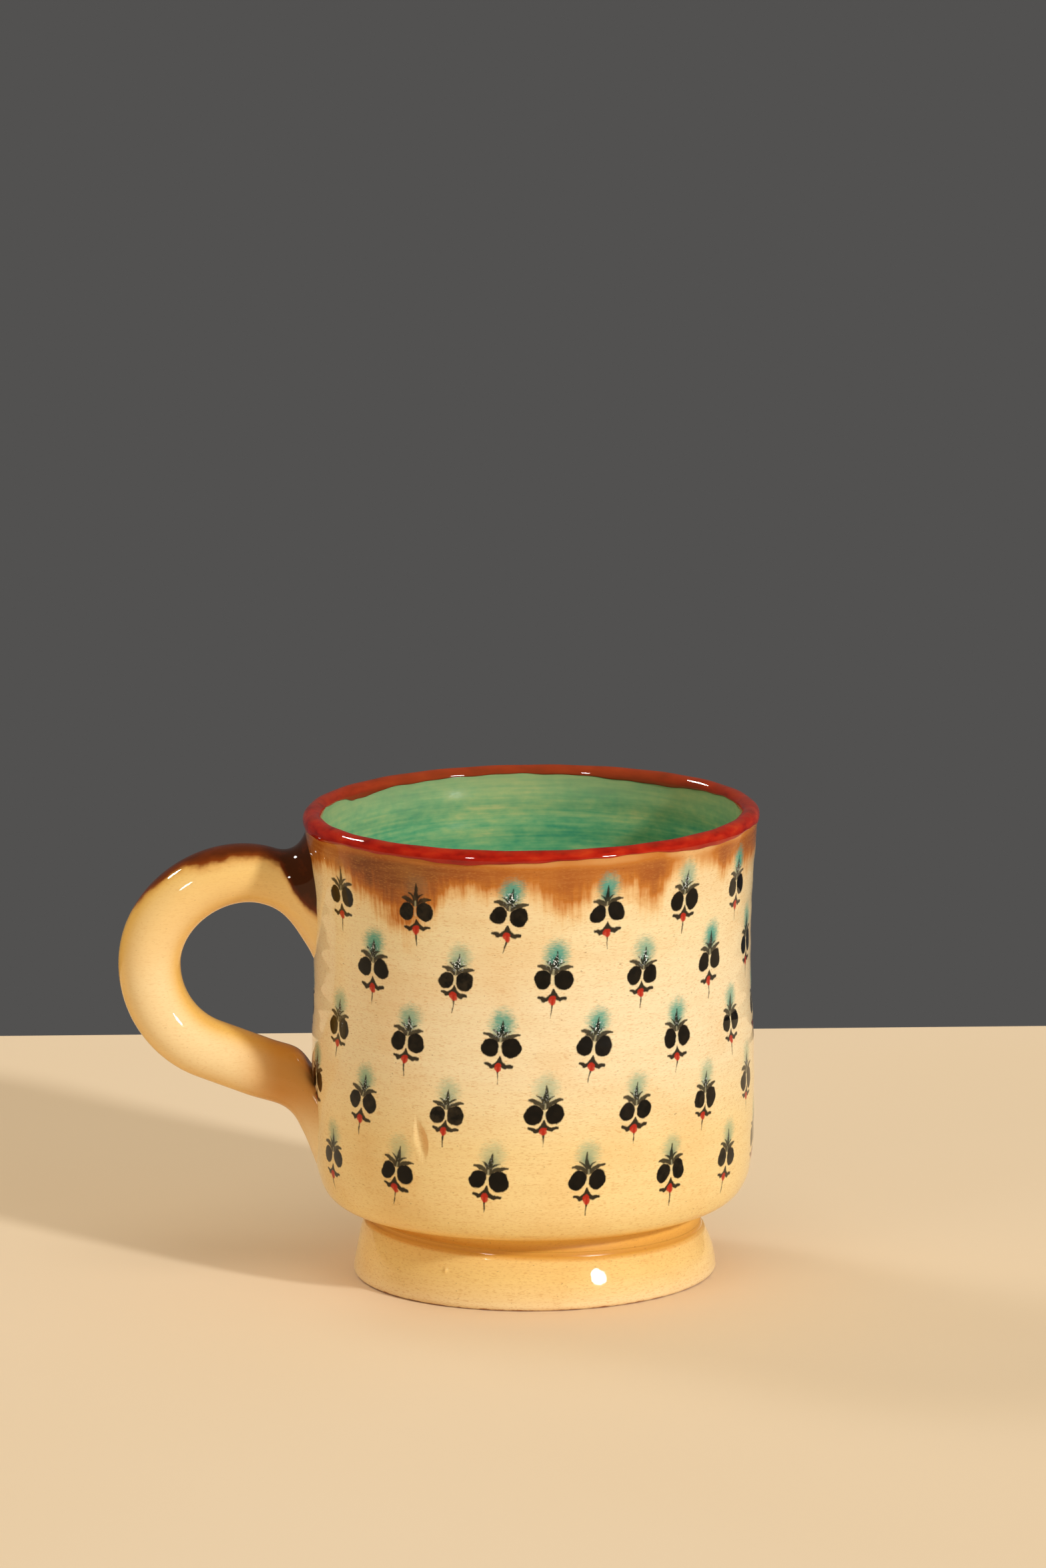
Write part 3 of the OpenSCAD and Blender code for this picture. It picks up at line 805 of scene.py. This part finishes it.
bandShare = np.linspace(0, 1, band["steps"])[:, None]
bandStart = crestRun - runToDepth(bandEdge(angles, band["outside"], band["runs"], band["waves"]))
bandEnd = crestRun + runToDepth(bandEdge(angles, band["inside"], band["insideRuns"], band["insideWaves"]))
bandAt = bandStart + (bandEnd - bandStart) * (0.5 - 0.5 * np.cos(np.pi * bandShare))
swell = np.sqrt(np.clip(1 - (2 * bandShare - 1) ** band["flatness"], 0, 1))
number, phase = band["unevenWave"]
swell = swell * (1 - band["unevenT"] + band["unevenT"] * np.sin(number * angles + phase))
bandCoat = band["edgeT"] + (cup["bandT"] - band["edgeT"]) * swell
bandCoat = np.vstack([bandCoat, -band["tuck"] * np.ones_like(bandCoat)])
bandAt = np.vstack([bandAt, bandAt[::-1]])
bandRadius = np.interp(bandAt, lipRun, lipPath[:, 0]) + bandCoat * np.interp(bandAt, lipRun, lipOut[:, 0])
bandHeight = np.interp(bandAt, lipRun, lipPath[:, 1]) + bandCoat * np.interp(bandAt, lipRun, lipOut[:, 1])
bandRadius = bandRadius + throwing(angles, bandHeight)
redRimBand = gridMesh("redRimBand", roundPoints(bandRadius, bandHeight), loopRings=True)
finishPiece(redRimBand, brushedRedGlaze(), "red_glaze", "red_rim_band")


# Foot: turned ring under the honey glaze, amber in its groove where the glaze pooled and with painted shadow
# of the cup's overhang, wiped to bare matt clay where it stands
foot = {
    "footR": footHigh[1],
    "height": footHigh[2],
    "restW": 5.4,
    "edgeR": 1.0,
    "lowLean": math.radians(8),  # of the flank, over the rounded edge
    "highLean": math.radians(20),  # and under the shoulder
    "pull": 2.75,  # how long the flank keeps each lean
    "shoulderIn": 2.0,  # where the flank turns in to the groove, in from the foot's widest
    "shoulderZ": 9.2,
    "shoulderR": 0.8,
    "shoulderLean": math.radians(62),
    "covePull": 0.45,  # how long the curve into the groove keeps that lean
    "coveDrop": 0.7,  # and the groove's own
    "tip": 1.3,  # the groove was cut by hand and dips to the right
    "tipFrom": 4.0,  # height where the flank starts to follow it
    "wallT": 5.2,
    "slipHollow": 0.5,
    "points": {  # mesh points along each stretch
        "rest": 6, "edge": 11, "flank": 50, "shoulder": 13, "cove": 10, "top": 5, "hollow": 8, "slip": 15,
    },
    "lumpHeight": 0.06,
    "grooveOver": (0.8, 1.4),  # the glaze in the groove is duller, mm over the shoulder
    "grooveRoughness": 0.5,
    "bareR": 29.6,  # bare clay inside this
    "bareSoft": 0.5,
    "bareZ": (0.35, 0.1),  # and below this, with a ragged edge
    "wipeMm": 2.0,
    "wipeReach": 0.6,
    "gritMm": 3.0,
    "clays": ("#C58E60", "#B0764A"),
    "clayRoughness": 0.75,
}


def grooveTip(angle, z):
    share = np.interp(z, [foot["tipFrom"], foot["shoulderZ"], foot["height"], cup["neckZ"]], [0, 1, 1, 0])
    return -foot["tip"] * np.sin(angle) * share


def honeyFootGlaze():
    material, add, place = startMaterial("honeyFootGlaze")
    axes = add("SeparateXYZ", place).outputs
    height = axes[2]
    share = add("MapRange", height, foot["tipFrom"], foot["shoulderZ"])
    share = add("MapRange", height, cup["neckZ"], foot["height"], 0.0, share)
    tip = add("Math MULTIPLY", axes[0], foot["tip"] / cup["neckR"])
    tipped = add("Math MULTIPLY_ADD", tip, share, height)
    colour = honeyGround(add, place, heightColour(add, tipped))
    ragged = add("TexNoise", place, 1 / foot["wipeMm"], 2.0)
    ragged = add("MapRange", ragged, 0.0, 1.0, -foot["wipeReach"], foot["wipeReach"])
    under = add("MapRange", add("Math ADD", height, ragged), *foot["bareZ"])
    away = add("VectorMath LENGTH", add("VectorMath MULTIPLY", place, (1, 1, 0)))
    hollow = add("MapRange", away, foot["bareR"] + foot["bareSoft"], foot["bareR"] - foot["bareSoft"])
    bare = add("Math MAXIMUM", under, hollow)
    grit = add("TexNoise", place, 1 / foot["gritMm"], 4.0)
    clay = add("Mix", grit, *map(linear, foot["clays"]), **inColour)
    colour = add("Mix", bare, colour, clay, **inColour)
    over = add("Math SUBTRACT", tipped, foot["shoulderZ"])
    gloss = add("MapRange", over, *foot["grooveOver"], honey["roughness"], foot["grooveRoughness"])
    gloss = add("MapRange", bare, 0.0, 1.0, gloss, foot["clayRoughness"])
    glaze(add, place, colour, {**honey, "roughness": gloss, "lumpHeight": foot["lumpHeight"]})
    return material


def arcPoints(radius, start, end, points):
    turn = np.linspace(start, end, points)
    return radius * np.stack([np.cos(turn), np.sin(turn)], axis=1)


def leaning(lean):  # unit step up a flank that leans in to the axis
    return np.array([-math.sin(lean), math.cos(lean)])


restR = foot["footR"] - foot["edgeR"]
hollowR = restR - foot["restW"]
hollowTopR = cup["neckR"] - foot["wallT"]
points = foot["points"]
footEdge = arcPoints(foot["edgeR"], -np.pi / 2, foot["lowLean"], points["edge"]) + (restR, foot["edgeR"])
shoulder = arcPoints(foot["shoulderR"], foot["highLean"], foot["shoulderLean"], points["shoulder"])
shoulder = shoulder - shoulder[0] + (foot["footR"] - foot["shoulderIn"], foot["shoulderZ"])
flankLow = footEdge[-1] + foot["pull"] * leaning(foot["lowLean"])
flankHigh = shoulder[0] - foot["pull"] * leaning(foot["highLean"])
coveLow = shoulder[-1] + foot["covePull"] * leaning(foot["shoulderLean"])
footNeck = np.array([cup["neckR"], foot["height"]])
footOutline = joinOutlines(
    np.linspace((hollowR, 0), (restR, 0), points["rest"]),
    footEdge,
    curve(footEdge[-1], flankLow, flankHigh, shoulder[0], points["flank"]),
    shoulder,
    curve(shoulder[-1], coveLow, footNeck - (0, foot["coveDrop"]), footNeck, points["cove"]),
    np.linspace(footNeck, (hollowTopR, foot["height"]), points["top"]),
    np.linspace((hollowTopR, foot["height"]), (hollowR, 0), points["hollow"]),
)[:-1]
footMaterial = honeyFootGlaze()
footRing = turned("footRing", footOutline, closed=True, relief=markHeight, insideR=hollowR, tip=grooveTip)
finishPiece(footRing, footMaterial, "honey_glazed_clay", "foot_ring")

slipShare = np.linspace(0, 1, points["slip"])
slipOutline = np.stack([
    cup["neckR"] - foot["slipHollow"] * np.sin(np.pi * slipShare),
    foot["height"] + (cup["neckZ"] - foot["height"]) * slipShare,
], axis=1)
slipOutline = np.vstack([slipOutline, [(hollowTopR, cup["neckZ"]), (hollowTopR, foot["height"])]])
footSlip = turned("footSlip", slipOutline, closed=True, tip=grooveTip)
finishPiece(footSlip, footMaterial, "amber_glazed_slip", "foot_slip")


# Handle: one pulled strap with its ends worked into the wall. Points are [out from the axis, up].
handle = {
    "topT": 10.8,  # thickness at the upper end, round the loop and at the lower end
    "loopT": 12.0,
    "tailT": 11.4,
    "width": 15.0,
    "fullness": 0.94,  # of the section: 1 is an ellipse, less is fuller
    "loopDrop": 12.4,  # from the lip to the loop's centreline
    "loopRu": 16.99,
    "loopRz": 17.79,
    "loopOffset": 14.5,
    "loopLean": 1.7,  # of the loop's top towards the wall
    "lead": math.radians(14),  # from the upper end to the loop's top
    "turn": math.radians(160),  # from the loop's top to the straight lower arm
    "tailLen": 10.6,  # from the lower arm's end to the wall
    "upperRise": 4.4,  # how far the upper root spreads up and down at the wall
    "upperDrop": 9.6,
    "upperSweep": 2.6,  # how late a root swells towards the wall
    "lowerRoll": 5.0,  # how far the lower root's top and bottom edges go down at the wall
    "lowerDrop": 11.6,
    "lowerSweep": 5.2,
    "spread": 3.0,  # of both roots to each side
    "sides": 72,
    "loopRings": 120,
    "armRings": 14,
    "rootRings": 30,
    "tuck": 0.4,  # last ring, inside the wall
    "roughness": 0.04,
    "lumpMm": 2.6,
    "lumpHeight": 0.05,
    "grain": 0.45,  # the pulled strap is smoother than the sponged wall
    "pale": "#F8DDA8",  # glaze drawn thin over the strap's rounded sides
    "paleY": (3.0, 7.0),
    "amber": "#F2C468",
    "amberZ": (58.0, 80.0),  # the glaze ran down off the loop's top
    "amberDepth": 0.65,
    "pooledAndShaded": "#C88228",  # glaze pooled along the lower arm near the wall, darkened further as painted shade where the cup shadows the arm
    "pooledAndShadedX": (-59.0, -48.0),
    "pooledAndShadedHigh": (54.0, 48.0),
    "pooledAndShadedLow": (26.0, 38.0),
    "pooledAndShadedDepth": 0.85,
    "creaseShade": "#8F4C12",  # painted shade in the corner over the lower root
    "creaseShadeOut": (1.9, 0.2),  # mm out from the wall
    "creaseShadeHigh": (49.0, 46.0),
    "creaseShadeLow": (37.0, 42.0),
    "creaseShadeDepth": 0.85,
}

loopU = cup["waistR"] + handle["loopOffset"]
loopZ = cup["top"] - handle["loopDrop"] - handle["loopRz"]
around = np.linspace(0, 2 * np.pi, handle["sides"], endpoint=False)
sectionAcross = np.sign(np.cos(around)) * np.abs(np.cos(around)) ** handle["fullness"]
sectionThrough = np.sign(np.sin(around)) * np.abs(np.sin(around)) ** handle["fullness"]


def loopPoint(a):
    lean = handle["loopLean"] * max(math.cos(a), 0) ** 2
    return np.array([loopU + handle["loopRu"] * math.sin(a) - lean, loopZ + handle["loopRz"] * math.cos(a)])


def loopTravel(a):
    leanStep = handle["loopLean"] * 2 * max(math.cos(a), 0) * math.sin(a)
    step = np.array([handle["loopRu"] * math.cos(a) + leanStep, -handle["loopRz"] * math.sin(a)])
    return step / np.linalg.norm(step)


def strapRing(centre, travel, thickness):
    through = sectionThrough * thickness / 2
    u = centre[0] - through * travel[1]
    z = centre[1] + through * travel[0]
    return np.stack([-u, sectionAcross * handle["width"] / 2, z], axis=1)


def rootRing(end, travel, side, thickness, wallR, rise, sink, drop, sweep, s, tuck):  # s is 1 at the wall
    swell = s ** sweep
    length = end[0] - wallR
    across = sectionAcross * (handle["width"] / 2 + handle["spread"] * swell)
    upwards = side * sectionThrough
    through = upwards * (thickness / 2 + np.where(upwards > 0, rise, drop) * swell)
    middle = end[1] - travel[1] / travel[0] * length * (s - s * s / 2) - sink * swell
    z = middle + through * (s - (1 - s) * travel[0])
    wall = wallRadius(z)
    wall = wall + throwing(np.arctan2(-wall, -across), z)
    u = end[0] - length * s - s * (wallR - np.sqrt(wall ** 2 - across ** 2)) - tuck
    u = u + through * (1 - s) * travel[1]
    return np.stack([-u, across, z], axis=1)


def rootRings(*root):
    turns = np.linspace(0, np.pi / 2, handle["rootRings"] + 1)[1:]
    return [rootRing(*root, math.sin(a), 0) for a in turns] + [rootRing(*root, 1.0, handle["tuck"])]


handleRings = []
for i in range(handle["loopRings"] + 1):
    share = i / handle["loopRings"]
    a = -handle["lead"] + share * (handle["lead"] + handle["turn"])
    endT = handle["topT"] if share < 0.5 else handle["tailT"]
    thickness = endT + (handle["loopT"] - endT) * math.sin(math.pi * share)
    handleRings.append(strapRing(loopPoint(a), loopTravel(a), thickness))
armStart = loopPoint(handle["turn"])
armTravel = loopTravel(handle["turn"])
armStep = (armStart[0] - cup["bellyR"] - handle["tailLen"]) / -armTravel[0] / handle["armRings"]
for i in range(1, handle["armRings"] + 1):
    handleRings.append(strapRing(armStart + armStep * i * armTravel, armTravel, handle["tailT"]))
armEnd = armStart + armStep * handle["armRings"] * armTravel
upperRoot = rootRings(
    loopPoint(-handle["lead"]), -loopTravel(-handle["lead"]), 1, handle["topT"], cup["waistR"],
    handle["upperRise"], 0, handle["upperDrop"], handle["upperSweep"],
)
lowerRoot = rootRings(
    armEnd, armTravel, -1, handle["tailT"], cup["bellyR"],
    0, handle["lowerRoll"], handle["lowerDrop"] - handle["lowerRoll"], handle["lowerSweep"],
)
handleRings = np.array(upperRoot[::-1] + handleRings + lowerRoot)
pulledHandle = gridMesh("pulledHandle", handleRings, caps=True)

handleRun = {  # the brown run over the upper root and the loop's top
    "edge": [  # its lower edge in the side view, [out from the axis, height] in mm
        (40, 71.4), (43.5, 73.8), (45.7, 76.8), (47, 79.3), (48.2, 81.2), (50.6, 82.5), (54, 82.6),
        (57.2, 82.4), (60, 81.7), (63.4, 80.9), (66.2, 81.1), (69, 79.7), (73.4, 76.4), (76, 73.9),
        (78, 71.8), (80, 71),
    ],
    "edgeSpan": (64.0, 84.0),  # heights that the edge stays between
    "raggedMm": 2.2,
    "raggedReach": 0.7,
    "crownY": (5.0, 1.0),  # it is unbroken along the top
    "crown": 1.3,
    "fringe": "#CD8A3A",  # thin glaze along its edge
    "fringeFrom": -1.8,
    "fringeDepth": 0.5,
    "denseFrom": 1.9,
    "ridge": ("#843A0A", "#541902"),  # thin and dense
    "root": ("#5E1C03", "#320700"),
    "rootX": (-52.0, -47.5),
    "blush": "#7A2E0A",  # thinner patches
    "blushMm": 3.4,
    "blushRange": (0.48, 0.7),
    "blushDepth": 0.35,
    "coverRange": (-0.7, 0.6),
    "cover": 0.97,
}


def honeyHandleGlaze():  # pale where the honey glaze is thin on the rounded sides, amber where it pooled, with painted shade on the lower arm and in the corner over the lower root
    material, add, place = startMaterial("honeyHandleGlaze")
    x, y, height = add("SeparateXYZ", place).outputs
    fromMiddle = add("Math ABSOLUTE", y)
    side = add("MapRange", fromMiddle, *handle["paleY"], **eased)
    colour = add("Mix", side, linear(handle["amber"]), linear(handle["pale"]), **inColour)
    golden = add("MapRange", height, *handle["amberZ"], 0.0, handle["amberDepth"])
    colour = add("Mix", golden, colour, linear(handle["amber"]), **inColour)
    # pooled glaze with painted shade, where the cup shadows the lower arm
    poolAndShade = add("MapRange", x, *handle["pooledAndShadedX"], 0.0, handle["pooledAndShadedDepth"], **eased)
    poolAndShade = add("MapRange", height, *handle["pooledAndShadedHigh"], 0.0, poolAndShade)
    poolAndShade = add("MapRange", height, *handle["pooledAndShadedLow"], 0.0, poolAndShade, **eased)
    colour = add("Mix", poolAndShade, colour, linear(handle["pooledAndShaded"]), **inColour)
    colour = honeyGround(add, place, colour, handle["grain"])
    # painted shade in the corner over the lower root
    away = add("VectorMath LENGTH", add("VectorMath MULTIPLY", place, (1, 1, 0)))
    away = add("Math SUBTRACT", away, cup["bellyR"])
    creaseShade = add("MapRange", away, *handle["creaseShadeOut"], 0.0, handle["creaseShadeDepth"], **eased)
    creaseShade = add("MapRange", height, *handle["creaseShadeLow"], 0.0, creaseShade)
    creaseShade = add("MapRange", height, *handle["creaseShadeHigh"], 0.0, creaseShade)
    colour = add("Mix", creaseShade, colour, linear(handle["creaseShade"]), **inColour)
    colour = layHandleRun(add, place, x, fromMiddle, height, colour)
    glaze(add, place, colour, {**honey, **handle})
    return material


def layHandleRun(add, place, x, fromMiddle, height, colour):
    near, far = handleRun["edge"][0][0], handleRun["edge"][-1][0]
    lowZ, highZ = handleRun["edgeSpan"]
    edge = setStops(add("ValToRGB", add("MapRange", x, -near, -far, 0.0, 1.0)), [
        ((u - near) / (far - near), ((z - lowZ) / (highZ - lowZ),) * 3) for u, z in handleRun["edge"]
    ])
    edge = add("Math MULTIPLY_ADD", edge, highZ - lowZ, lowZ)
    ragged = add("TexNoise", place, 1 / handleRun["raggedMm"], 2.0)
    ragged = add("MapRange", ragged, 0.0, 1.0, -handleRun["raggedReach"], handleRun["raggedReach"])
    depth = add("Math ADD", add("Math SUBTRACT", height, edge), ragged)
    crown = add("MapRange", fromMiddle, *handleRun["crownY"], 0.0, handleRun["crown"])
    depth = add("Math ADD", depth, crown)
    fringe = add("MapRange", depth, handleRun["fringeFrom"], 0.0, 0.0, handleRun["fringeDepth"], **eased)
    colour = add("Mix", fringe, colour, linear(handleRun["fringe"]), **inColour)
    dense = add("MapRange", depth, 0.0, handleRun["denseFrom"], **eased)
    ridge = add("Mix", dense, *map(linear, handleRun["ridge"]), **inColour)
    root = add("Mix", dense, *map(linear, handleRun["root"]), **inColour)
    brown = add("Mix", add("MapRange", x, *handleRun["rootX"], **eased), ridge, root, **inColour)
    blush = add("TexNoise", place, 1 / handleRun["blushMm"], 3.0)
    blush = add("MapRange", blush, *handleRun["blushRange"], 0.0, handleRun["blushDepth"])
    brown = add("Mix", blush, brown, linear(handleRun["blush"]), **inColour)
    cover = add("MapRange", depth, *handleRun["coverRange"], 0.0, handleRun["cover"], **eased)
    return add("Mix", cover, colour, brown, **inColour)


finishPiece(pulledHandle, honeyHandleGlaze(), "honey_glazed_clay",
            "handle_strap", "upper_handle_root", "lower_handle_root")


# Floor, backdrop and light
studio = {
    "floorSide": 4.0,  # metres from the mug to its front and side edges
    "floorBack": 0.211,  # and to its back edge
    "floorColours": ("#F5E1C3", "#F1DAB7"),
    "floorPatchMm": 160,
    "floorRoughness": 0.8,
    "airLight": "#B2A796",  # even light from the room
    "backdrop": "#525150",  # what the camera and the gloss see of it
    # each lamp: azimuth and elevation in degrees, distance and size in metres, watts, colour.
    # A lamp lights the clay, and a panel near it is what the gloss mirrors.
    "lamps": [
        ("keyLamp", 45, 25, 10.0, 0.77, 540, "#FFFFFF"),
        ("keyPanel", 43, 17, 9.0, 1.58, 570, "#FFFFFF"),
        ("fillLamp", -43, 20, 10.0, 4.4, 66, "#FFEFD8"),
        ("fillPanel", -34, 31, 9.0, 1.0, 206, "#FFFFFF"),
        ("sideLamp", -132, 38, 10.0, 3.3, 155, "#FFF4E4"),
        ("sidePanel", -132, 38, 9.0, 1.12, 285, "#FFFFFF"),
        ("topLamp", 10, 72, 10.0, 6.2, 156, "#FFF4E4"),
    ],
}

floorMesh = bpy.data.meshes.new("studioFloor")
side, back = studio["floorSide"], studio["floorBack"]
floorCorners = [(-side, -side, 0), (side, -side, 0), (side, back, 0), (-side, back, 0)]
floorMesh.from_pydata(floorCorners, [], [(0, 1, 2, 3)])
studioFloor = bpy.data.objects.new("studioFloor", floorMesh)
scene.collection.objects.link(studioFloor)
floorMaterial, add, place = startMaterial("palePaintedBoard")  # matt paint with a faint unevenness
floorPatches = add("TexNoise", place, 1 / studio["floorPatchMm"], 2.0)
floorTone = add("Mix", floorPatches, *map(linear, studio["floorColours"]), **inColour)
floorShader = add("BsdfPrincipled", links={"Base Color": floorTone, "Roughness": studio["floorRoughness"]})
add("OutputMaterial", floorShader)
floorMesh.materials.append(floorMaterial)

world = bpy.data.worlds.new("studioAir")
scene.world = world
world.use_nodes = True
world.node_tree.nodes.clear()
add = partial(addNode, world.node_tree)
rays = add("LightPath").outputs
seen = add("Math MAXIMUM", rays["Is Camera Ray"], rays["Is Glossy Ray"])
seen = add("Math MAXIMUM", seen, rays["Is Transmission Ray"])
air = add("Mix", seen, linear(studio["airLight"]), linear(studio["backdrop"]), **inColour)
add("OutputWorld", add("Background", air))

aim = Vector((0, 0, cup["top"] / 2 * mm))
for name, azimuth, elevation, distance, size, watts, colour in studio["lamps"]:
    lampData = bpy.data.lights.new(name, "AREA")
    lampData.shape = "DISK"
    lampData.size = size
    lampData.energy = watts
    lampData.color = linear(colour)[:3]
    lamp = bpy.data.objects.new(name, lampData)
    a, e = math.radians(azimuth), math.radians(elevation)
    way = Vector((math.sin(a) * math.cos(e), -math.cos(a) * math.cos(e), math.sin(e)))
    lamp.location = aim + way * distance
    lamp.rotation_mode = "QUATERNION"
    lamp.rotation_quaternion = (-way).to_track_quat("-Z", "Y")
    lamp.visible_camera = False
    lamp.visible_diffuse = "Lamp" in name
    lamp.visible_glossy = "Panel" in name
    scene.collection.objects.link(lamp)
print("lit the studio")


# Camera, worked out from the rim's and the foot's ellipses in the photograph
photo = {
    "tallPx": 2351,
    "focalPx": 15950,
    "place": (-1.448, -2000.0, 491.9),  # mm
    "pitch": 0.1957,  # radians below level
    "roll": -0.0096,
    "sensorMm": 36.0,
    "farEnd": 50.0,  # metres, past the lamps
}
cameraData = bpy.data.cameras.new("photoCamera")
cameraData.sensor_width = photo["sensorMm"]
cameraData.lens = photo["focalPx"] * photo["sensorMm"] / photo["tallPx"]
cameraData.clip_end = photo["farEnd"]
camera = bpy.data.objects.new("photoCamera", cameraData)
scene.collection.objects.link(camera)
camera.matrix_world = (
    Matrix.Translation(Vector(photo["place"]) * mm)
    @ Matrix.Rotation(math.pi / 2 - photo["pitch"], 4, "X")
    @ Matrix.Rotation(photo["roll"], 4, "Z")
)
scene.camera = camera
scene.view_settings.view_transform = "Standard"
print("set the camera")
